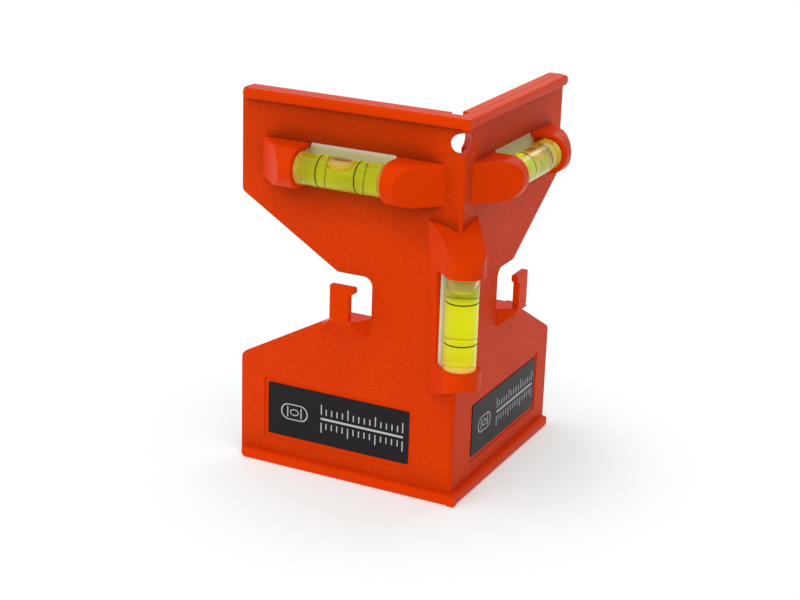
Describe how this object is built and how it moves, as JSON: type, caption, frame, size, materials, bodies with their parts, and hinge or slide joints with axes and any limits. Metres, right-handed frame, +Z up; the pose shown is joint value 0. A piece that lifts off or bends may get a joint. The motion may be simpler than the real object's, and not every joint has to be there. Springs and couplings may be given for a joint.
{
  "type": "post level",
  "caption": "Right-angle post level: two moulded wings with lips, a vial lying on each wing, an upright vial on the corner, strap hooks and a hanging hole.",
  "frame": {"origin": "centre of the bounding box in X and Y, on the floor in Z", "axes": "+Z up along the wings' height; the left wing runs along X and faces -Y, the right wing runs along Y and faces +X; the corner between them points along +X-Y"},
  "size_m": [0.0922, 0.0922, 0.13],
  "materials": {
    "orange_plastic": "moulded, fine grain",
    "label_film": "satin film",
    "clear_acrylic": "polished, clear",
    "vial_liquid": "clear dyed liquid",
    "vial_bubble": "air",
    "ring_black": "printed line",
    "white_strip": "smooth"
  },
  "bodies": {
    "frame": {"frame_shell": "orange_plastic", "left_back_plate": "orange_plastic", "right_back_plate": "orange_plastic", "left_label": "label_film", "right_label": "label_film", "left_vial_tube": "clear_acrylic", "left_vial_plug": "clear_acrylic", "left_vial_liquid": "vial_liquid", "left_vial_rings": "ring_black", "left_vial_backing": "white_strip", "right_vial_tube": "clear_acrylic", "right_vial_plug": "clear_acrylic", "right_vial_liquid": "vial_liquid", "right_vial_rings": "ring_black", "right_vial_backing": "white_strip", "corner_vial_tube": "clear_acrylic", "corner_vial_plug": "clear_acrylic", "corner_vial_liquid": "vial_liquid", "corner_vial_rings": "ring_black", "corner_vial_backing": "white_strip"},
    "left_bubble": {"left_vial_bubble": "vial_bubble"},
    "right_bubble": {"right_vial_bubble": "vial_bubble"},
    "corner_bubble": {"corner_vial_bubble": "vial_bubble"}
  },
  "joints": [
    {"name": "left_bubble_slide", "type": "slide", "parent": "frame", "child": "left_bubble", "axis": [1, 0, 0], "range_m": [-0.009, 0.009], "stiffness_N_per_m": 5, "deforming": ["left_vial_liquid"]},
    {"name": "right_bubble_slide", "type": "slide", "parent": "frame", "child": "right_bubble", "axis": [0, 1, 0], "range_m": [-0.009, 0.009], "stiffness_N_per_m": 5, "deforming": ["right_vial_liquid"]},
    {"name": "corner_bubble_slide", "type": "slide", "parent": "frame", "child": "corner_bubble", "axis": [0, 0, 1], "range_m": [-0.0233, 0], "stiffness_N_per_m": 20, "springref_m": 0.002, "deforming": ["corner_vial_liquid"]}
  ]
}
